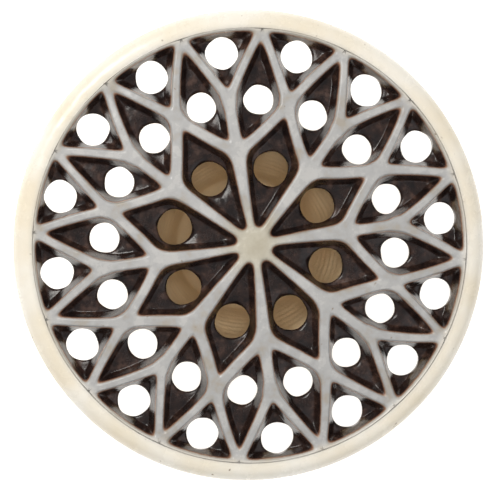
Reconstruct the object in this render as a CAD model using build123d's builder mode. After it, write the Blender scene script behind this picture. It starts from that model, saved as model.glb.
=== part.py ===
from build123d import *
from math import cos, radians, sin, sqrt
import os

# A round pierced ceramic flower frog: a domed rosette top on a hollow, closed cup foot.
# Millimetres, +Z up. The origin is the centre of the underside of the foot.
# The fired top is one body. It is drawn here as its rim, hub, spokes, ribs and well floors, which
# meet face to face.

os.makedirs("parts", exist_ok=True)

# ---- Whole object ----
TOP_RADIUS = 57.15
TOTAL_HEIGHT = 40.0

# ---- Domed top: a slab between two concentric spheres, ringed by a rolled rim ----
OPEN_RADIUS = 51.6
DOME_RISE = 6.0
SLAB_THICKNESS = 6.8
FLOOR_THICKNESS = 3.0
RIM_BEAD_RADIUS = 3.8
RIM_BEAD_HEIGHT = 31.0

# ---- Rosette: eight spokes from the hub, each forking twice on the way to the rim ----
SPOKES = 8
FIRST_SPOKE_ANGLE = 8.1
HUB_RADIUS = 4.8
FORK_RADIUS = 22.4
NODE_RADIUS = 35.4
SPOKE_WIDTH_AT_HUB = 1.7
SPOKE_WIDTH_AT_FORK = 4.3
FORK_PAD_RADIUS = 2.7
INNER_RIB_WIDTH = 3.0
INNER_RIB_OVERRUN = 1.2
OUTER_RIB_WIDTH = 2.8
OUTER_RIB_BULGE = 0.3

# ---- Stem holes: three rings of upright round holes, one through each well floor ----
INNER_RING_RADIUS = 19.0
INNER_HOLE_RADIUS = 4.2
MIDDLE_RING_RADIUS = 35.1
MIDDLE_HOLE_RADIUS = 3.6
OUTER_RING_RADIUS = 47.1
OUTER_HOLE_RADIUS = 3.9

# ---- Dark stain that coats each well ----
STAIN_THICKNESS = 0.25
STAIN_EDGE_DROP = 0.7

# ---- Cup foot ----
FOOT_BASE_RADIUS = 20.5
FOOT_TOP_RADIUS = 28.0
CUP_FLOOR_RADIUS = 17.0
CUP_MOUTH_RADIUS = 24.4
CUP_FLOOR_THICKNESS = 4.0
FOOT_EDGE_RADIUS = 1.4
CUP_CORNER_RADIUS = 2.5

# ---- Luting coil in the outside corner between the foot and the top ----
COIL_REACH = 2.3
COIL_DROP = 3.4
COIL_HOLLOW = 0.6

# ---- Values worked out from the sizes above ----
DOME_SPHERE = (OPEN_RADIUS**2 + DOME_RISE**2) / (2 * DOME_RISE)
DOME_CENTRE = TOTAL_HEIGHT - DOME_SPHERE
UNDERSIDE_SPHERE = DOME_SPHERE - SLAB_THICKNESS
WELL_FLOOR_SPHERE = UNDERSIDE_SPHERE + FLOOR_THICKNESS
STAIN_FLOOR_SPHERE = WELL_FLOOR_SPHERE + STAIN_THICKNESS
STAIN_EDGE_SPHERE = DOME_SPHERE - STAIN_EDGE_DROP
BEAD_CENTRE_RADIUS = TOP_RADIUS - RIM_BEAD_RADIUS
RIM_BOTTOM = RIM_BEAD_HEIGHT - RIM_BEAD_RADIUS
SPOKE_PITCH = 360 / SPOKES
NODE_PITCH = SPOKE_PITCH / 2
RIB_END_OFFSET = SPOKE_PITCH / 4
HOLE_TOOL_OVERRUN = 5.0
LIP_HEIGHT = DOME_CENTRE + sqrt(UNDERSIDE_SPHERE**2 - FOOT_TOP_RADIUS**2)
COIL_LOW_HEIGHT = LIP_HEIGHT - COIL_DROP
COIL_LOW_RADIUS = FOOT_BASE_RADIUS + (FOOT_TOP_RADIUS - FOOT_BASE_RADIUS) * COIL_LOW_HEIGHT / LIP_HEIGHT
COIL_OUTER_RADIUS = FOOT_TOP_RADIUS + COIL_REACH
SPOKE_ANGLES = [FIRST_SPOKE_ANGLE + SPOKE_PITCH * turn for turn in range(SPOKES)]
NODE_ANGLES = [FIRST_SPOKE_ANGLE + NODE_PITCH * turn for turn in range(2 * SPOKES)]


def polar(radius, angle):
    """A point of the rosette's plan."""
    return (radius * cos(radians(angle)), radius * sin(radians(angle)))


def bowed(start, end, bulge):
    """The middle point of an arc that leaves the straight line start-end by `bulge` to its left."""
    along_x = end[0] - start[0]
    along_y = end[1] - start[1]
    length = sqrt(along_x**2 + along_y**2)
    middle_x = (start[0] + end[0]) / 2
    middle_y = (start[1] + end[1]) / 2
    return (middle_x - bulge * along_y / length, middle_y + bulge * along_x / length)


def overrun(start, end, extra):
    """The point that lies `extra` beyond the end of the straight line start-end."""
    along_x = end[0] - start[0]
    along_y = end[1] - start[1]
    length = sqrt(along_x**2 + along_y**2)
    return (end[0] + extra * along_x / length, end[1] + extra * along_y / length)


def hub_plan():
    """The round pad where the spokes meet."""
    with BuildSketch() as plan:
        Circle(HUB_RADIUS)
    return plan.sketch


def spoke_plan(angle):
    """A spoke that widens from the hub to the round pad at its fork."""
    with BuildSketch() as plan:
        with Locations(Rotation(0, 0, angle)):
            Polygon(
                (0, -SPOKE_WIDTH_AT_HUB / 2),
                (FORK_RADIUS, -SPOKE_WIDTH_AT_FORK / 2),
                (FORK_RADIUS, SPOKE_WIDTH_AT_FORK / 2),
                (0, SPOKE_WIDTH_AT_HUB / 2),
                align=None,
            )
        with Locations(polar(FORK_RADIUS, angle)):
            Circle(FORK_PAD_RADIUS)
    return plan.sketch


def inner_rib_plan(angle, side):
    """A straight rib from a fork to the node to its right (-1), ahead (0) or left (1)."""
    start = polar(FORK_RADIUS, angle)
    node = polar(NODE_RADIUS, angle + side * NODE_PITCH)
    with BuildSketch() as plan:
        with BuildLine():
            Line(start, overrun(start, node, INNER_RIB_OVERRUN))
        trace(line_width=INNER_RIB_WIDTH)
    return plan.sketch


def outer_rib_plan(angle, side):
    """A slightly bowed rib from a node to the rim, half a node pitch to one side."""
    start = polar(NODE_RADIUS, angle)
    end = polar(OPEN_RADIUS + OUTER_RIB_WIDTH, angle + side * RIB_END_OFFSET)
    with BuildSketch() as plan:
        with BuildLine():
            ThreePointArc(start, bowed(start, end, -side * OUTER_RIB_BULGE), end)
        trace(line_width=OUTER_RIB_WIDTH)
    return plan.sketch


# ---- Plan of the rosette, divided into pieces that touch but don't overlap ----
rib_plans = {
    "hub": [hub_plan()],
    "spokes": [spoke_plan(angle) for angle in SPOKE_ANGLES],
    "inner_ribs": [inner_rib_plan(angle, side) for angle in SPOKE_ANGLES for side in (0, -1, 1)],
    "outer_ribs": [outer_rib_plan(angle, side) for angle in NODE_ANGLES for side in (-1, 1)],
}
piece_outlines = {}
with BuildSketch() as taken:
    Circle(TOP_RADIUS)
    Circle(OPEN_RADIUS, mode=Mode.SUBTRACT)
for name, plans in rib_plans.items():
    piece_outlines[name] = []
    for plan in plans:
        with BuildSketch() as left_over:
            add(plan)
            add(taken.sketch, mode=Mode.SUBTRACT)
        piece_outlines[name].append(left_over.sketch.faces().sort_by(SortBy.AREA)[-1])
        with taken:
            add(left_over.sketch)

with BuildSketch() as well_plans:
    Circle(OPEN_RADIUS)
    add(taken.sketch, mode=Mode.SUBTRACT)


def between_spheres(outline, inner_sphere, outer_sphere):
    """An upright prism on an outline, cut off below and above by spheres of the dome."""
    with BuildPart() as prism:
        with BuildSketch(Plane.XY.offset(RIM_BOTTOM)):
            add(outline)
        extrude(amount=TOTAL_HEIGHT - RIM_BOTTOM)
        with Locations((0, 0, DOME_CENTRE)):
            Sphere(outer_sphere, mode=Mode.INTERSECT)
            Sphere(inner_sphere, mode=Mode.SUBTRACT)
    return prism.part.solid()


def stem_hole_at(angle, ring_radius, hole_radius):
    """The upright hole of a ring at one angle."""
    with BuildPart() as hole:
        with Locations((*polar(ring_radius, angle), RIM_BOTTOM - HOLE_TOOL_OVERRUN)):
            Cylinder(
                hole_radius,
                TOTAL_HEIGHT - RIM_BOTTOM + 2 * HOLE_TOOL_OVERRUN,
                align=(Align.CENTER, Align.CENTER, Align.MIN),
            )
    return hole.part


def pierced(solid, hole):
    """A solid with a stem hole cut through it."""
    with BuildPart() as result:
        add(solid)
        add(hole, mode=Mode.SUBTRACT)
    return result.part.solid()


def coat(outline, hole):
    """The dark stain on the floor and walls of one well."""
    with BuildSketch() as hollow:
        add(outline)
        offset(amount=-STAIN_THICKNESS, kind=Kind.INTERSECTION, mode=Mode.REPLACE)
    with BuildPart() as layer:
        add(between_spheres(outline, WELL_FLOOR_SPHERE, STAIN_EDGE_SPHERE))
        add(between_spheres(hollow.sketch, STAIN_FLOOR_SPHERE, DOME_SPHERE), mode=Mode.SUBTRACT)
        add(hole, mode=Mode.SUBTRACT)
    return layer.part.solid()


def export_group(name, solids):
    """Write identical or similar items as one piece made of separate solids."""
    export_step(Compound(label=name, children=solids), f"parts/{name}.step")


# ---- Hub, spokes and ribs: as thick as the slab ----
for name, outlines in piece_outlines.items():
    export_group(name, [between_spheres(outline, UNDERSIDE_SPHERE, DOME_SPHERE) for outline in outlines])

# ---- Well floors and their stain: one of each for every opening of the rosette ----
hole_rings = [
    (INNER_RING_RADIUS, INNER_HOLE_RADIUS, [angle + NODE_PITCH for angle in SPOKE_ANGLES]),
    (MIDDLE_RING_RADIUS, MIDDLE_HOLE_RADIUS, [angle + RIB_END_OFFSET for angle in NODE_ANGLES]),
    (OUTER_RING_RADIUS, OUTER_HOLE_RADIUS, NODE_ANGLES),
]
floor_plates = []
stain_coats = []
for ring_radius, hole_radius, hole_angles in hole_rings:
    for angle in hole_angles:
        hole = stem_hole_at(angle, ring_radius, hole_radius)
        outline = well_plans.faces().sort_by_distance((*polar(ring_radius, angle), 0))[0]
        plate = between_spheres(outline, UNDERSIDE_SPHERE, WELL_FLOOR_SPHERE)
        floor_plates.append(pierced(plate, hole))
        stain_coats.append(coat(outline, hole))
export_group("well_floors", floor_plates)
export_group("well_stain", stain_coats)

# ---- Rim: a rolled bead whose inner wall closes the outer wells ----
with BuildPart() as rim:
    with BuildSketch(Plane.XZ):
        with Locations((0, DOME_CENTRE)):
            Circle(DOME_SPHERE)
        with Locations((OPEN_RADIUS, RIM_BOTTOM)):
            Rectangle(RIM_BEAD_RADIUS / 2, TOTAL_HEIGHT, align=Align.MIN, mode=Mode.INTERSECT)
        with Locations((BEAD_CENTRE_RADIUS, RIM_BEAD_HEIGHT)):
            Circle(RIM_BEAD_RADIUS)
        with Locations((OPEN_RADIUS, RIM_BOTTOM)):
            Rectangle(TOP_RADIUS, TOTAL_HEIGHT, align=Align.MIN, mode=Mode.INTERSECT)
    revolve(axis=Axis.Z)
rim.part.label = "rim"
export_step(rim.part, "parts/rim.step")

# ---- Cup foot: a tapered cup with a closed floor, its lip fitted to the dome's underside ----
with BuildPart() as foot_cup:
    with BuildSketch(Plane.XZ):
        Polygon(
            (0, 0),
            (FOOT_BASE_RADIUS, 0),
            (FOOT_TOP_RADIUS, LIP_HEIGHT),
            (FOOT_TOP_RADIUS, TOTAL_HEIGHT),
            (0, TOTAL_HEIGHT),
            align=None,
        )
        Polygon(
            (0, CUP_FLOOR_THICKNESS),
            (CUP_FLOOR_RADIUS, CUP_FLOOR_THICKNESS),
            (CUP_MOUTH_RADIUS, LIP_HEIGHT),
            (CUP_MOUTH_RADIUS, TOTAL_HEIGHT),
            (0, TOTAL_HEIGHT),
            align=None,
            mode=Mode.SUBTRACT,
        )
    revolve(axis=Axis.Z)
    with Locations((0, 0, DOME_CENTRE)):
        Sphere(UNDERSIDE_SPHERE, mode=Mode.INTERSECT)
    fillet(foot_cup.edges().group_by(Axis.Z)[0], FOOT_EDGE_RADIUS)
    cup_floor = foot_cup.faces().filter_by(Plane.XY).sort_by(Axis.Z)[-1]
    fillet(cup_floor.edges(), CUP_CORNER_RADIUS)
foot_cup.part.label = "foot_cup"
export_step(foot_cup.part, "parts/foot_cup.step")

# ---- Luting coil: smoothed clay in the corner between the cup and the underside of the top ----
with BuildPart() as luting_coil:
    with BuildSketch(Plane.XZ):
        with BuildLine():
            coil_low = (COIL_LOW_RADIUS, COIL_LOW_HEIGHT)
            coil_out = (COIL_OUTER_RADIUS, LIP_HEIGHT - COIL_REACH / 4)
            ThreePointArc(coil_low, bowed(coil_low, coil_out, COIL_HOLLOW), coil_out)
            Polyline(
                coil_out,
                (COIL_OUTER_RADIUS, TOTAL_HEIGHT),
                (CUP_MOUTH_RADIUS, TOTAL_HEIGHT),
                (CUP_MOUTH_RADIUS, COIL_LOW_HEIGHT),
                coil_low,
            )
        make_face()
    revolve(axis=Axis.Z)
    with Locations((0, 0, DOME_CENTRE)):
        Sphere(UNDERSIDE_SPHERE, mode=Mode.INTERSECT)
    add(foot_cup.part, mode=Mode.SUBTRACT)
luting_coil.part.label = "luting_coil"
export_step(luting_coil.part, "parts/luting_coil.step")
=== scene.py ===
import bpy
import math
import numpy as np
from mathutils import Matrix, Vector


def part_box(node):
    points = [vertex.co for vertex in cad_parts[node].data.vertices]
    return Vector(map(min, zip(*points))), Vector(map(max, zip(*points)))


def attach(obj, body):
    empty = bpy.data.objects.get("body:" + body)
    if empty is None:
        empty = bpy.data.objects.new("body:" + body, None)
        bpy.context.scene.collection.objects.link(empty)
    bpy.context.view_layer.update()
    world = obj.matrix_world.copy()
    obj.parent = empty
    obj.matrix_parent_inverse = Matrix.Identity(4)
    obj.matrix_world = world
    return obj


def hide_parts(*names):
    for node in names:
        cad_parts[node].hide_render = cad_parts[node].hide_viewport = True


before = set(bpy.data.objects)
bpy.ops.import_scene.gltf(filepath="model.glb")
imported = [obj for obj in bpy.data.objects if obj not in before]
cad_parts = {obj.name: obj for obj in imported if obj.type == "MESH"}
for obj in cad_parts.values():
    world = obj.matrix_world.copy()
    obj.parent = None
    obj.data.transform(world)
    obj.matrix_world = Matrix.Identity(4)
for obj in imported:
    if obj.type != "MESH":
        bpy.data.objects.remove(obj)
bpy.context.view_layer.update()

# Lengths below are millimetres in the frame of the CAD part; MM turns them into metres.
MM = 0.001
rim_low, rim_high = (np.array(corner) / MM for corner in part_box("rim"))
hub_high = np.array(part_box("hub")[1]) / MM
foot_low, foot_high = (np.array(corner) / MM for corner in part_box("foot_cup"))
coil_low, coil_high = (np.array(corner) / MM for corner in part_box("luting_coil"))

# ---- Sizes taken from the CAD boxes ----
TOP_RADIUS = (rim_high[0] - rim_low[0]) / 2
HUB_HEIGHT = hub_high[2]
RIM_BOTTOM = rim_low[2]
FOOT_TOP_RADIUS = (foot_high[0] - foot_low[0]) / 2
LIP_HEIGHT = coil_high[2]
COIL_RADIUS = (coil_high[0] - coil_low[0]) / 2
COIL_LOW_HEIGHT = coil_low[2]

# ---- Domed top ----
OPEN_RADIUS = 51.6
DOME_RISE = 6.0
SLAB_THICKNESS = 6.8
DOME_SPHERE = (OPEN_RADIUS**2 + DOME_RISE**2) / (2 * DOME_RISE)
DOME_CENTRE = HUB_HEIGHT - DOME_SPHERE
BEAD_RADIUS = 3.8
BEAD_CENTRE = TOP_RADIUS - BEAD_RADIUS
BEAD_HEIGHT = RIM_BOTTOM + BEAD_RADIUS
SHOULDER_RADIUS = OPEN_RADIUS + 0.9
WELL_DEPTH = 3.8

# ---- Rosette of ribs ----
SPOKES = 8
FIRST_SPOKE = math.radians(8.1)
SPOKE_PITCH = 2 * math.pi / SPOKES
NODE_PITCH = SPOKE_PITCH / 2
RIM_OFFSET = SPOKE_PITCH / 4
FORK_RADIUS = 22.4
NODE_RADIUS = 35.4
HUB_PAD = 4.3
SPOKE_HALF_WIDTHS = (0.8, 2.1)
INNER_RIB_HALF = 1.48
OUTER_RIB_HALF = 1.38
RIB_END_HALF = 1.15
OUTER_RIB_BOW = 0.35
RIB_STEPS = 10

# ---- Stem holes: ring radius and hole radius ----
INNER_HOLES = (19.0, 4.2)
MIDDLE_HOLES = (35.1, 3.6)
OUTER_HOLES = (47.1, 3.9)

# ---- How uneven the hand work is ----
SEED = 7
NODE_WANDER = 0.35
HOLE_WANDER = 0.28
HUB_SHIFT = np.array([0.7, 0.25])
HOLE_RAGGED = (0.10, 0.08, 0.05, 0.04, 0.03)

rng = np.random.default_rng(SEED)


def polar(radius, angle):
    """Plan point or points at a distance and direction from the axis."""
    return np.stack([radius * np.cos(angle), radius * np.sin(angle)], axis=-1)


def wander(amount):
    """A small random plan shift."""
    return rng.uniform(-amount, amount, 2)


# ---------------------------------------------------------------- rib graph
spoke_angles = FIRST_SPOKE + SPOKE_PITCH * np.arange(SPOKES)
node_angles = FIRST_SPOKE + NODE_PITCH * np.arange(2 * SPOKES)
hub = HUB_SHIFT
forks = [polar(FORK_RADIUS, a) + wander(NODE_WANDER) for a in spoke_angles]
nodes = [polar(NODE_RADIUS, a) + wander(NODE_WANDER) for a in node_angles]
rim_angles = [a + RIM_OFFSET + rng.uniform(-0.012, 0.012) for a in node_angles]
rim_points = [polar(SHOULDER_RADIUS, a) for a in rim_angles]


def rib_line(start, end, bow=0.0):
    """Points along a rib's crest, bowed to the left of its direction."""
    share = np.linspace(0, 1, RIB_STEPS + 1)[:, None]
    line = start + (end - start) * share
    across = np.array([start[1] - end[1], end[0] - start[0]]) / np.linalg.norm(end - start)
    return line + across * bow * np.sin(math.pi * share)


ribs = {}
rib_halves = {}


def add_rib(key, start, end, halves, bow=0.0):
    """Records one rib: its crest line and its half width from end to end."""
    ribs[key] = rib_line(start, end, bow)
    rib_halves[key] = np.linspace(halves[0], halves[1], RIB_STEPS + 1)


for s in range(SPOKES):
    uneven = rng.uniform(0.92, 1.08, 4)
    spoke_halves = (SPOKE_HALF_WIDTHS[0] * uneven[0], SPOKE_HALF_WIDTHS[1] * uneven[0])
    add_rib(("spoke", s), hub, forks[s], spoke_halves, rng.uniform(-0.25, 0.25))
    own_node = 2 * s
    for kind, step, bow, factor in (
        ("radial", 0, 0.0, uneven[1]),
        ("left", 1, 0.35, uneven[2]),
        ("right", -1, -0.35, uneven[3]),
    ):
        half = INNER_RIB_HALF * factor
        node = own_node + step
        bow = bow + rng.uniform(-0.15, 0.15)
        add_rib((kind, s), forks[s], nodes[node % (2 * SPOKES)], (half * 1.05, half), bow)
for n in range(2 * SPOKES):
    for kind, contact, bow in (("ahead", n, -OUTER_RIB_BOW), ("behind", n - 1, OUTER_RIB_BOW)):
        half = OUTER_RIB_HALF * rng.uniform(0.92, 1.08)
        bow = bow + rng.uniform(-0.2, 0.2)
        add_rib((kind, n), nodes[n], rim_points[contact], (half, RIB_END_HALF), bow)

RIB_KEYS = list(ribs)
RIB_STARTS = np.array([ribs[k][:-1] for k in RIB_KEYS])
RIB_ENDS = np.array([ribs[k][1:] for k in RIB_KEYS])
HALF_STARTS = np.array([rib_halves[k][:-1] for k in RIB_KEYS])
HALF_ENDS = np.array([rib_halves[k][1:] for k in RIB_KEYS])
RIB_BLEND = 0.55


def beside_ribs(points, near):
    """How far points lie outside the edge of the nearest rib, in plan. Ribs flow into each other."""
    starts, ends = RIB_STARTS[near], RIB_ENDS[near]
    run = ends - starts
    rel = points[:, None, None, :] - starts
    share = np.clip((rel * run).sum(-1) / (run * run).sum(-1), 0, 1)
    gap = np.linalg.norm(rel - run * share[..., None], axis=-1)
    half = HALF_STARTS[near] + (HALF_ENDS[near] - HALF_STARTS[near]) * share
    by_rib = (gap - half).min(-1)
    by_hub = np.linalg.norm(points - hub, axis=-1) - HUB_PAD
    by_rim = SHOULDER_RADIUS - 0.9 - np.linalg.norm(points, axis=-1)
    every = np.concatenate([by_rib, by_hub[:, None], by_rim[:, None]], axis=1)
    return -RIB_BLEND * np.log(np.exp(-every / RIB_BLEND).sum(-1))


# ---------------------------------------------------------------- surfaces of the top
CREST_BLEND = 0.3
FLANK_START = -0.75
FLANK_WIDTH = 2.1
UNDERSIDE_SPHERE = DOME_SPHERE - SLAB_THICKNESS


def smoothstep(low, high, value):
    """0 below low, 1 above high, with level ends."""
    share = np.clip((value - low) / (high - low), 0, 1)
    return share * share * (3 - 2 * share)


def crest_height(radius):
    """Height of the uncut top: a dome that runs into the rolled rim."""
    dome = DOME_CENTRE + np.sqrt(DOME_SPHERE**2 - radius**2)
    out = np.clip(np.abs(radius - BEAD_CENTRE), 0, BEAD_RADIUS)
    bead = BEAD_HEIGHT + np.sqrt(BEAD_RADIUS**2 - out**2)
    return CREST_BLEND * np.log(np.exp(dome / CREST_BLEND) + np.exp(bead / CREST_BLEND))


def underside_height(radius):
    """Height of the top's underside."""
    return np.maximum(DOME_CENTRE + np.sqrt(UNDERSIDE_SPHERE**2 - radius**2), RIM_BOTTOM)


def well_share(beside):
    """0 on a rib's crest, 1 on the floor of a well."""
    return smoothstep(FLANK_START, FLANK_START + FLANK_WIDTH, beside)


# ---------------------------------------------------------------- cells: one per stem hole
ROWS = 20
WALL_ROWS = 5
UNDER_ROWS = 5
LINE_SAMPLES = 48
RIB_SAMPLES = {"spoke": 22, "radial": 13, "left": 15, "right": 15, "ahead": 19, "behind": 19}
RIM_SAMPLES = 22
NEAR = 26.0
ANGLE_SHARE = 0.55
FAR_SQUEEZE = 0.35
LIP_DROP = 0.3
LIP_REACH = 0.3
HOLE_FALL = 0.5
HOLE_FALL_REACH = 3.0


def resampled(line, count):
    """The line at evenly spaced shares of its length, ends included."""
    steps = np.linalg.norm(np.diff(line, axis=0), axis=1)
    along = np.concatenate([[0], np.cumsum(steps)]) / steps.sum()
    share = np.linspace(0, 1, count + 1)
    return np.stack([np.interp(share, along, line[:, i]) for i in (0, 1)], axis=-1)


def side(kind, which, forward=True):
    """One side of a cell: a rib's crest line without its last point."""
    line = resampled(ribs[(kind, which)], RIB_SAMPLES[kind])
    return line[:-1] if forward else line[::-1][:-1]


def rim_side(start):
    """The rim side of an outer cell, from one rib end to the next, without its last point."""
    begin = rim_angles[start - 1]
    end = rim_angles[start]
    if end < begin:
        end += 2 * math.pi
    return polar(SHOULDER_RADIUS, np.linspace(begin, end, RIM_SAMPLES + 1))[:-1]


def cell_loops():
    """The boundary of every cell, anticlockwise, with its hole's ring and direction."""
    count = 2 * SPOKES
    loops = []
    for s in range(SPOKES):
        after = (s + 1) % SPOKES
        petal = [side("spoke", s), side("left", s), side("right", after, False), side("spoke", after, False)]
        loops.append((np.concatenate(petal), INNER_HOLES, spoke_angles[s] + NODE_PITCH))
        own, ahead, behind = 2 * s, 2 * s + 1, (2 * s - 1) % count
        kite = [side("radial", s), side("ahead", own), side("behind", ahead, False), side("left", s, False)]
        loops.append((np.concatenate(kite), MIDDLE_HOLES, node_angles[own] + RIM_OFFSET))
        kite = [side("right", s), side("ahead", behind), side("behind", own, False), side("radial", s, False)]
        loops.append((np.concatenate(kite), MIDDLE_HOLES, node_angles[own] - RIM_OFFSET))
    for n in range(count):
        fan = [side("behind", n), rim_side(n), side("ahead", n, False)]
        loops.append((np.concatenate(fan), OUTER_HOLES, node_angles[n]))
    return loops


def hole_outline(centre, radius, angles):
    """A hand-punched round hole: slightly out of round, with a few small nicks."""
    swell = np.zeros_like(angles)
    for wave, size in enumerate(HOLE_RAGGED, start=2):
        swell += size * rng.uniform(0.3, 1.0) * np.sin(wave * angles + rng.uniform(0, 2 * math.pi))
    return centre + (radius + swell)[:, None] * polar(1.0, angles)


def squeezed(beside):
    """Keeps the flank's share of the rows and squeezes what lies far from it."""
    low, high = FLANK_START - 0.2, FLANK_START + FLANK_WIDTH + 0.2
    inner = np.clip(beside, low, high)
    return inner + FAR_SQUEEZE * (beside - inner)


def cell_rows(loop, hole_ring, direction):
    """Plan points of a cell's rows, from its boundary in to its hole, and the hole's centre."""
    ring_radius, hole_radius = hole_ring
    centre = polar(ring_radius, direction) + wander(HOLE_WANDER)
    around = loop - centre
    angles = np.unwrap(np.arctan2(around[:, 1], around[:, 0]))
    steps = np.linalg.norm(np.roll(loop, -1, axis=0) - loop, axis=1)
    even = angles[0] + 2 * math.pi * (np.cumsum(steps) - steps) / steps.sum()
    even += (angles - even).mean()
    edge = hole_outline(centre, hole_radius, ANGLE_SHARE * angles + (1 - ANGLE_SHARE) * even)
    near = np.linalg.norm(RIB_STARTS - centre, axis=-1).min(axis=1) < NEAR
    share = np.linspace(0, 1, LINE_SAMPLES)
    line = loop[None] + (edge - loop)[None] * share[:, None, None]
    beside = beside_ribs(line.reshape(-1, 2), near).reshape(LINE_SAMPLES, -1)
    level = np.maximum.accumulate(squeezed(beside), axis=0) + share[:, None] * 0.8
    rows = np.linspace(0, 1, ROWS + 1)
    where = np.empty((ROWS + 1, len(loop)))
    for column in range(len(loop)):
        wanted = level[0, column] + (level[-1, column] - level[0, column]) * rows
        where[:, column] = np.interp(wanted, level[:, column], share)
    plan = loop[None] + (edge - loop)[None] * where[..., None]
    to_edge = np.linalg.norm(edge[None] - plan, axis=-1)
    return plan, to_edge, centre


EVERY_RIB = np.ones(len(RIB_KEYS), bool)


# ---------------------------------------------------------------- mesh of the top
# Stain share on the hole walls and under the holes: brown stain, darkened down the hole walls as painted
# shade.
UNDER_STAIN_REACH = 2.5
WALL_FLARE = 0.18
WALL_STAIN_AND_SHADE_FADE = 0.25
RIM_ROWS = 40
RIM_WAVE = 0.16
RIM_WAVES = ((2, 0.4), (3, 2.1), (5, 4.0), (9, 1.0))
RIM_TONE = (50.6, 54.0)


class Skin:
    """Quads gathered row by row. Points that share a place are joined at the end."""

    def __init__(self):
        self.points, self.stains, self.quads, self.total = [], [], [], 0

    def add_rows(self, rows, stains, closed=True):
        """Adds a sheet: rows of equally many points, each row joined to the next."""
        rows = np.asarray(rows)
        height, width = rows.shape[:2]
        self.points.append(rows.reshape(-1, 3))
        self.stains.append(np.asarray(stains).reshape(-1))
        columns = np.arange(width if closed else width - 1)
        for row in range(height - 1):
            here = self.total + row * width
            there = here + width
            nexts = (columns + 1) % width
            corners = [here + columns, here + nexts, there + nexts, there + columns]
            self.quads.append(np.stack(corners, axis=-1))
        self.total += height * width

    def joined(self):
        """Points, stains and quads with the shared points merged."""
        points = np.concatenate(self.points)
        stains = np.concatenate(self.stains)
        _, first, where = np.unique(np.round(points, 4), axis=0, return_index=True, return_inverse=True)
        quads = where.reshape(-1)[np.concatenate(self.quads)]
        return points[first], stains[first], quads


def top_of_cell(plan, to_edge):
    """Heights and stain share of a cell's rows of plan points; the share colours the wells with brown stain
    and painted shade.
    """
    radius = np.linalg.norm(plan, axis=-1)
    flat = plan.reshape(-1, 2)
    beside = beside_ribs(flat, EVERY_RIB).reshape(radius.shape)
    share = well_share(beside)
    fall = HOLE_FALL * smoothstep(HOLE_FALL_REACH, 0, to_edge) * share
    lip = LIP_DROP * np.exp(-to_edge / LIP_REACH) * (to_edge < 4 * LIP_REACH)
    height = crest_height(radius) - WELL_DEPTH * share - fall - lip
    return height, share


def build_top():
    """The pierced top as one closed skin."""
    skin = Skin()
    for loop, ring, direction in cell_loops():
        plan, to_edge, centre = cell_rows(loop, ring, direction)
        height, share = top_of_cell(plan, to_edge)
        skin.add_rows(np.dstack([plan, height]), share)
        edge = plan[-1]
        out = (edge - centre) / np.linalg.norm(edge - centre, axis=-1)[:, None]
        low = underside_height(np.linalg.norm(edge, axis=-1))
        down = np.linspace(0, 1, WALL_ROWS + 1)[:, None]
        flare = WALL_FLARE * (np.sin(math.pi * down) + down**4)
        wall_plan = edge[None] + out[None] * flare[..., None]
        wall_height = height[-1] + (low - height[-1]) * down
        wall_stain_and_shade = share[-1] + (WALL_STAIN_AND_SHADE_FADE - share[-1]) * down
        skin.add_rows(np.dstack([wall_plan, wall_height])[:-1], wall_stain_and_shade[:-1])
        start = wall_plan[-1]
        back = np.linspace(0, 1, UNDER_ROWS + 1)[:, None] ** 1.6
        under_plan = start[None] + (loop - start)[None] * back[..., None]
        under_height = underside_height(np.linalg.norm(under_plan, axis=-1))
        away = np.linalg.norm(under_plan - start[None], axis=-1)
        under_stain = WALL_STAIN_AND_SHADE_FADE * smoothstep(UNDER_STAIN_REACH, 0, away)
        joined_plan = np.concatenate([wall_plan[-2:-1], under_plan])
        joined_height = np.concatenate([wall_height[-2:-1], under_height])
        joined_stain = np.concatenate([wall_stain_and_shade[-2:-1], under_stain])
        skin.add_rows(np.dstack([joined_plan, joined_height]), joined_stain)
    add_rim(skin)
    return skin.joined()


def add_rim(skin):
    """The rolled rim, from the shoulder over the bead and back under to the shoulder."""
    shoulder = np.concatenate([rim_side(n) for n in range(2 * SPOKES)])
    direction = shoulder / SHOULDER_RADIUS
    angle = np.arctan2(direction[:, 1], direction[:, 0])
    first = math.acos((SHOULDER_RADIUS - BEAD_CENTRE) / BEAD_RADIUS)
    turn = np.linspace(first, -math.pi / 2, RIM_ROWS)
    wave = sum(RIM_WAVE / k * np.sin(k * angle + phase) for k, phase in RIM_WAVES)
    rows = []
    for step in turn:
        out = BEAD_CENTRE + BEAD_RADIUS * math.cos(step)
        up = BEAD_HEIGHT + BEAD_RADIUS * math.sin(step)
        swell = wave * max(math.cos(step), 0.0)
        ring = direction * (out + swell)[:, None]
        rows.append(np.column_stack([ring, np.full(len(ring), up)]))
    radius = np.linalg.norm(shoulder, axis=-1)
    rows[0] = np.column_stack([shoulder, crest_height(radius)])
    rows.append(np.column_stack([shoulder, underside_height(radius)]))
    rows = np.array(rows)
    beside = beside_ribs(shoulder, EVERY_RIB)
    rows[0, :, 2] -= WELL_DEPTH * well_share(beside)
    skin.add_rows(rows[::-1][:, ::-1], np.zeros(rows.shape[:2]))


def new_piece(name, points, quads):
    """A smooth mesh object from points in millimetres."""
    mesh = bpy.data.meshes.new(name)
    mesh.from_pydata((np.asarray(points) * MM).tolist(), [], np.asarray(quads).tolist())
    mesh.update()
    mesh.shade_smooth()
    piece = bpy.data.objects.new(name, mesh)
    bpy.context.scene.collection.objects.link(piece)
    return piece


def set_point_values(piece, name, values):
    """Stores one number per point for the materials to read."""
    attribute = piece.data.attributes.new(name, "FLOAT", "POINT")
    attribute.data.foreach_set("value", np.asarray(values, dtype=np.float32))


# ---------------------------------------------------------------- mesh of the foot
FOOT_COLUMNS = 160
THROW_RIPPLE = 0.05
THROW_RINGS = 9


def arc(centre, radius, start, end, steps):
    """Profile points on an arc, angles in degrees."""
    turn = np.radians(np.linspace(start, end, steps))
    return np.stack([centre[0] + radius * np.cos(turn), centre[1] + radius * np.sin(turn)], axis=-1)


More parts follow.
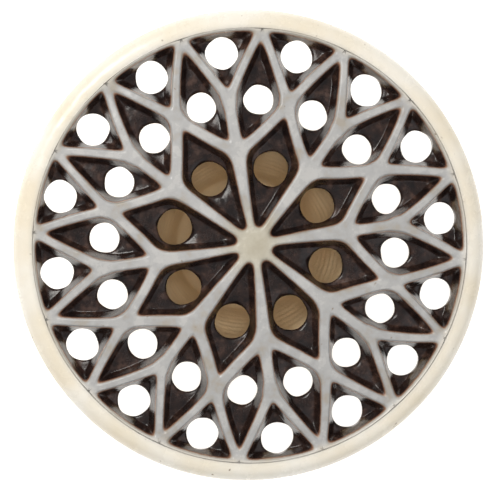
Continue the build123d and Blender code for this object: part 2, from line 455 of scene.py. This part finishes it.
def straight(start, end, steps, ripple=0.0):
    """Profile points on a line, with soft throwing ripples across it."""
    share = np.linspace(0, 1, steps)[:, None]
    start, end = np.array(start), np.array(end)
    across = np.array([end[1] - start[1], start[0] - end[0]]) / np.linalg.norm(end - start)
    waves = np.sin(share * THROW_RINGS * 2 * math.pi) * np.sin(math.pi * share)
    return start + (end - start) * share + across * ripple * waves


def turned(profile, columns, wobble):
    """Rows of points from a profile turned about the axis, slightly uneven like thrown clay."""
    angle = np.linspace(0, 2 * math.pi, columns, endpoint=False)
    rows = []
    for radius, height in profile:
        uneven = wobble * (np.sin(2 * angle + 0.13 * height) + 0.5 * np.sin(3 * angle + 1.7))
        uneven = uneven * min(radius / FOOT_TOP_RADIUS, 1.0)
        ring = polar(1.0, angle) * (radius + uneven)[:, None]
        rows.append(np.column_stack([ring, np.full(columns, height)]))
    return np.array(rows)


FOOT_BASE_RADIUS = 20.5
FOOT_EDGE = 1.4
FOOT_RING_WIDTH = 2.6
FOOT_RECESS = 0.5
CUP_FLOOR_RADIUS = 17.0
CUP_FLOOR_HEIGHT = 4.0
CUP_CORNER = 2.5
CUP_MOUTH_RADIUS = 24.4
COIL_HOLLOW = 0.7


def coil_profile():
    """The smoothed coil, from the foot's wall out to the top's underside."""
    low = np.array([FOOT_TOP_RADIUS - 0.75, COIL_LOW_HEIGHT])
    high = np.array([COIL_RADIUS, LIP_HEIGHT - 0.1])
    share = np.linspace(0, 1, 10)[:, None]
    inward = np.array([-0.8, 0.6])
    return low + (high - low) * share + inward * COIL_HOLLOW * np.sin(math.pi * share)


def foot_profile():
    """The foot's outline from the centre of its underside round to the centre of its floor."""
    base_edge = (FOOT_BASE_RADIUS - FOOT_EDGE, FOOT_EDGE)
    wall_low = (FOOT_BASE_RADIUS + 0.1, FOOT_EDGE)
    wall_high = (FOOT_TOP_RADIUS - 0.75, COIL_LOW_HEIGHT)
    floor_corner = (CUP_FLOOR_RADIUS - CUP_CORNER, CUP_FLOOR_HEIGHT + CUP_CORNER)
    mouth = (CUP_MOUTH_RADIUS, LIP_HEIGHT - 0.3)
    inner_low = (CUP_FLOOR_RADIUS + 0.2, CUP_FLOOR_HEIGHT + CUP_CORNER)
    floor_edge = (CUP_FLOOR_RADIUS - CUP_CORNER - 0.3, CUP_FLOOR_HEIGHT)
    floor_middle = (0.01, CUP_FLOOR_HEIGHT + 0.3)
    under = [(0.01, FOOT_RECESS), (FOOT_BASE_RADIUS - FOOT_EDGE - FOOT_RING_WIDTH - 1.0, FOOT_RECESS)]
    under += [(FOOT_BASE_RADIUS - FOOT_EDGE - FOOT_RING_WIDTH, 0.0)]
    parts = [
        np.array(under),
        arc(base_edge, FOOT_EDGE, -90, -10, 8),
        straight(wall_low, wall_high, 60, THROW_RIPPLE),
        coil_profile(),
        np.array([(CUP_MOUTH_RADIUS + 0.3, LIP_HEIGHT - 0.1)]),
        straight(mouth, inner_low, 60, THROW_RIPPLE),
        arc(floor_corner, CUP_CORNER, -10, -90, 8),
        straight(floor_edge, floor_middle, 40, THROW_RIPPLE),
    ]
    return np.concatenate(parts)


def build_foot():
    """The cup foot and its luting coil as one turned skin, with how bare its clay is."""
    profile = foot_profile()
    rows = turned(profile, FOOT_COLUMNS, 0.22)
    bare = np.repeat((profile[:, 1] < 0.8)[:, None], FOOT_COLUMNS, axis=1)
    skin = Skin()
    skin.add_rows(rows[::-1], bare[::-1])
    return skin.joined()


# ---------------------------------------------------------------- materials
def new_material(name):
    """An empty node material and its principled shader."""
    material = bpy.data.materials.new(name)
    material.use_nodes = True
    tree = material.node_tree
    return material, tree, tree.nodes["Principled BSDF"]


def object_place(tree, stretch=(1, 1, 1)):
    """Where a point lies on the object, in metres, with each axis stretched."""
    place = tree.nodes.new("ShaderNodeTexCoord")
    mapping = tree.nodes.new("ShaderNodeMapping")
    mapping.inputs["Scale"].default_value = stretch
    tree.links.new(place.outputs["Object"], mapping.inputs["Vector"])
    return mapping.outputs["Vector"]


def noise(tree, place, scale, detail=4.0, roughness=0.55):
    """A noise pattern, as numbers around one half."""
    node = tree.nodes.new("ShaderNodeTexNoise")
    node.inputs["Scale"].default_value = scale
    node.inputs["Detail"].default_value = detail
    node.inputs["Roughness"].default_value = roughness
    tree.links.new(place, node.inputs["Vector"])
    return node.outputs["Fac"]


def point_value(tree, name):
    """A number stored on the mesh points."""
    node = tree.nodes.new("ShaderNodeAttribute")
    node.attribute_name = name
    return node.outputs["Fac"]


def spread(tree, value, from_low, from_high, to_low=0.0, to_high=1.0):
    """The value moved from one range to another, held inside it."""
    node = tree.nodes.new("ShaderNodeMapRange")
    node.inputs["From Min"].default_value = from_low
    node.inputs["From Max"].default_value = from_high
    node.inputs["To Min"].default_value = to_low
    node.inputs["To Max"].default_value = to_high
    tree.links.new(value, node.inputs["Value"])
    return node.outputs["Result"]


def maths(tree, operation, first, second):
    """One sum on two inputs; the second may be a plain number."""
    node = tree.nodes.new("ShaderNodeMath")
    node.operation = operation
    tree.links.new(first, node.inputs[0])
    if isinstance(second, (int, float)):
        node.inputs[1].default_value = second
    else:
        tree.links.new(second, node.inputs[1])
    return node.outputs["Value"]


def ramp(tree, value, stops):
    """Colours along a value: (position, (r, g, b)) stops."""
    node = tree.nodes.new("ShaderNodeValToRGB")
    bands = node.color_ramp.elements
    while len(bands) < len(stops):
        bands.new(0.5)
    for band, (position, colour) in zip(bands, stops):
        band.position = position
        band.color = (*colour, 1.0)
    tree.links.new(value, node.inputs["Fac"])
    return node.outputs["Color"]


def blend(tree, share, first, second, kind="MIX"):
    """Two colours mixed by a share."""
    node = tree.nodes.new("ShaderNodeMix")
    node.data_type = "RGBA"
    node.blend_type = kind
    tree.links.new(share, node.inputs[0])
    tree.links.new(first, node.inputs[6])
    tree.links.new(second, node.inputs[7])
    return node.outputs[2]


def bump(tree, height, distance, strength=1.0, under=None):
    """A bump from a height pattern, in metres, over an optional earlier bump."""
    node = tree.nodes.new("ShaderNodeBump")
    node.inputs["Distance"].default_value = distance
    node.inputs["Strength"].default_value = strength
    tree.links.new(height, node.inputs["Height"])
    if under is not None:
        tree.links.new(under, node.inputs["Normal"])
    return node.outputs["Normal"]


RIB_GREY = (0.38, 0.375, 0.37)
RIB_TAN = (0.36, 0.325, 0.28)
RIB_PALE = (0.46, 0.45, 0.435)
HUB_TAN = (0.39, 0.35, 0.27)
HUB_CREAM = (0.49, 0.455, 0.37)
# Rim colours: warm ivory where the glaze runs thin over the clay, brightened as a painted highlight on the
# rolled rim.
RIM_WARM_AND_HIGHLIGHT = (0.74, 0.66, 0.52)
RIM_PALE_AND_HIGHLIGHT = (0.80, 0.76, 0.68)
# Halo: the thin red-brown edge of the stain, partly a painted shade line where the ribs drop into the wells.
HALO_RED = (0.20, 0.095, 0.06)
HALO_TAN = (0.42, 0.30, 0.21)
# Stain colours: real brown stain, its deep and brown tones made near black as painted shade in the wells.
STAIN_AND_SHADE_DEEP = (0.010, 0.006, 0.0055)
STAIN_AND_SHADE_BROWN = (0.026, 0.014, 0.011)
STAIN_THIN = (0.085, 0.048, 0.036)
SPECK = (0.20, 0.14, 0.09)


def top_material():
    """Ivory clay under clear glaze, with dark brown stain left in the wells, deepened to near black as
    painted shade in the wells.
    """
    material, tree, shader = new_material("ivory_glaze_stain_and_painted_shade")
    place = object_place(tree)
    mottle = noise(tree, place, 160, 5.0, 0.6)
    fine = noise(tree, place, 900, 3.0)
    clouds = noise(tree, place, 55, 3.0)
    rib = ramp(tree, mottle, ((0.34, RIB_TAN), (0.46, RIB_GREY), (0.62, RIB_PALE)))
    # The rim's tone: its own warmer ivory, with a painted highlight brightening it.
    rim = ramp(tree, clouds, ((0.35, RIM_WARM_AND_HIGHLIGHT), (0.62, RIM_PALE_AND_HIGHLIGHT)))
    clay = blend(tree, point_value(tree, "rim"), rib, rim)
    warm = ramp(tree, mottle, ((0.3, HUB_TAN), (0.6, HUB_CREAM)))
    clay = blend(tree, point_value(tree, "hub"), clay, warm)
    specks = spread(tree, noise(tree, place, 700, 2.0, 0.4), 0.74, 0.82)
    speck_colour = ramp(tree, fine, ((0.0, SPECK), (1.0, SPECK)))
    clay = blend(tree, specks, clay, speck_colour)
    streaks = noise(tree, object_place(tree, (1.0, 1.0, 0.12)), 420, 4.0, 0.6)
    # Well colour by depth: real brown stain, deepened to near black as painted shade in the recesses.
    stain = ramp(tree, streaks, ((0.36, STAIN_AND_SHADE_DEEP), (0.55, STAIN_AND_SHADE_BROWN), (0.74, STAIN_THIN)))
    rubbed = maths(tree, "MULTIPLY", maths(tree, "SUBTRACT", fine, 0.5), 0.10)
    worn = maths(tree, "MULTIPLY", maths(tree, "SUBTRACT", mottle, 0.5), 0.16)
    depth = maths(tree, "ADD", maths(tree, "ADD", point_value(tree, "stain"), rubbed), worn)
    # The stain's edge: partly its thin red-brown edge, partly a painted shade line into the wells.
    halo = ramp(tree, depth, ((0.10, HALO_TAN), (0.22, HALO_RED), (0.34, STAIN_AND_SHADE_BROWN)))
    edge = blend(tree, spread(tree, depth, 0.07, 0.17), clay, halo)
    colour = blend(tree, spread(tree, depth, 0.22, 0.42), edge, stain)
    tree.links.new(colour, shader.inputs["Base Color"])
    tree.links.new(spread(tree, mottle, 0.3, 0.7, 0.16, 0.34), shader.inputs["Roughness"])
    shader.inputs["IOR"].default_value = 1.5
    soft = bump(tree, noise(tree, place, 110, 3.0), 0.0006)
    tree.links.new(bump(tree, fine, 0.00006, 0.8, soft), shader.inputs["Normal"])
    return material


# Buff glaze colours: the clay's own buff, made bright honey as a painted glow of light shining through and
# bouncing inside the cup.
BUFF_AND_GLOW_LIGHT = (0.90, 0.72, 0.47)
BUFF_AND_GLOW_DARK = (0.82, 0.62, 0.38)
BARE_LIGHT = (0.62, 0.53, 0.41)
BARE_DARK = (0.42, 0.33, 0.23)


def foot_material():
    """Buff clay under a thin clear glaze, left bare on the resting ring. Its bright honey tone is partly a
    painted glow of light inside the cup.
    """
    material, tree, shader = new_material("buff_glaze")
    place = object_place(tree)
    clouds = noise(tree, place, 90, 5.0)
    grain = noise(tree, place, 1500, 4.0)
    glazed_and_glow = ramp(tree, clouds, ((0.35, BUFF_AND_GLOW_DARK), (0.62, BUFF_AND_GLOW_LIGHT)))
    bare = ramp(tree, grain, ((0.35, BARE_DARK), (0.6, BARE_LIGHT)))
    bareness = point_value(tree, "stain")
    colour = blend(tree, bareness, glazed_and_glow, bare)
    tree.links.new(colour, shader.inputs["Base Color"])
    tree.links.new(spread(tree, clouds, 0.3, 0.7, 0.35, 0.55), shader.inputs["Roughness"])
    soft = bump(tree, clouds, 0.0005)
    tree.links.new(bump(tree, grain, 0.00008, 0.7, soft), shader.inputs["Normal"])
    return material


# ---------------------------------------------------------------- the object
TOP_NODES = ("rim", "hub", "spokes", "inner_ribs", "outer_ribs", "well_floors", "well_stain")
points, stain, quads = build_top()
pierced_top = new_piece("glazed_pierced_top", points, quads)
# The stain share marks how deep in a well a point lies; it colours the wells with brown stain and painted
# shade.
set_point_values(pierced_top, "stain", stain)
reach = np.linalg.norm(points[:, :2], axis=1)
# The rim share: where the rim's warmer ivory and its painted highlight take over.
set_point_values(pierced_top, "rim", smoothstep(RIM_TONE[0], RIM_TONE[1], reach))
from_hub = np.linalg.norm(points[:, :2] - hub, axis=1)
set_point_values(pierced_top, "hub", smoothstep(12.0, 2.0, from_hub))
pierced_top.data.materials.append(top_material())
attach(pierced_top, "root")
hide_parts(*TOP_NODES)

points, bare, quads = build_foot()
foot = new_piece("thrown_cup_foot", points, quads)
set_point_values(foot, "stain", bare)
foot.data.materials.append(foot_material())
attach(foot, "root")
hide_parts("foot_cup", "luting_coil")

# ---------------------------------------------------------------- floor, light and camera
FLOOR_SIZE = 6.0
FLOOR_DROP = 0.0003
FLOOR_GLOW = 0.66


def add_floor():
    """A plain pale floor just under the foot."""
    half = FLOOR_SIZE / 2
    mesh = bpy.data.meshes.new("floor")
    corners = [(x * half, y * half, -FLOOR_DROP) for x, y in ((-1, -1), (1, -1), (1, 1), (-1, 1))]
    mesh.from_pydata(corners, [], [(0, 1, 2, 3)])
    floor = bpy.data.objects.new("floor", mesh)
    bpy.context.scene.collection.objects.link(floor)
    material, tree, shader = new_material("pale_floor")
    shader.inputs["Base Color"].default_value = (0.86, 0.85, 0.83, 1.0)
    shader.inputs["Roughness"].default_value = 0.9
    shader.inputs["Emission Color"].default_value = (1.0, 0.99, 0.97, 1.0)
    shader.inputs["Emission Strength"].default_value = FLOOR_GLOW
    mesh.materials.append(material)


def add_light(name, position, size, power, colour, mirrored=True):
    """A soft square light that faces the middle of the object; glaze may mirror it or not."""
    light = bpy.data.lights.new(name, "AREA")
    light.size = size
    light.energy = power
    light.color = colour
    lamp = bpy.data.objects.new(name, light)
    bpy.context.scene.collection.objects.link(lamp)
    lamp.location = position
    lamp.visible_glossy = mirrored
    aim_at(lamp, (0.0, 0.0, HUB_HEIGHT * MM / 2))


def aim_at(thing, target):
    """Turns a light or camera to face a point, keeping +Y upward in a view from above."""
    back = (Vector(thing.location) - Vector(target)).normalized()
    right = Vector((0.0, 1.0, 0.0)).cross(back).normalized()
    up = back.cross(right)
    thing.rotation_euler = Matrix((right, up, back)).transposed().to_euler()


add_floor()
add_light("key", (-0.34, 0.36, 0.52), 0.30, 2.5, (1.0, 0.98, 0.94))
add_light("overhead", (-0.02, 0.03, 0.75), 0.30, 2.7, (1.0, 0.97, 0.92), mirrored=False)
add_light("fill", (0.45, -0.30, 0.55), 0.60, 0.5, (0.94, 0.96, 1.0))
world = bpy.data.worlds.new("studio")
world.use_nodes = True
world.node_tree.nodes["Background"].inputs["Color"].default_value = (0.93, 0.96, 1.0, 1.0)
world.node_tree.nodes["Background"].inputs["Strength"].default_value = 0.34
scene = bpy.context.scene
scene.world = world
scene.view_settings.view_transform = "Standard"

CAMERA_DISTANCE = 0.62
CAMERA_TILT = (math.radians(-4.0), math.radians(1.5))
FRAME_FILL = 0.942
SENSOR = 36.0
AIM = (0.0001, -0.0011, BEAD_HEIGHT * MM)

camera_data = bpy.data.cameras.new("camera")
camera = bpy.data.objects.new("camera", camera_data)
scene.collection.objects.link(camera)
camera.location = (
    AIM[0] + CAMERA_DISTANCE * math.sin(CAMERA_TILT[0]),
    AIM[1] + CAMERA_DISTANCE * math.sin(CAMERA_TILT[1]),
    AIM[2] + CAMERA_DISTANCE * math.cos(CAMERA_TILT[0]) * math.cos(CAMERA_TILT[1]),
)
aim_at(camera, AIM)
camera_data.sensor_width = SENSOR
camera_data.lens = SENSOR * CAMERA_DISTANCE * FRAME_FILL / (2 * TOP_RADIUS * MM)
scene.camera = camera
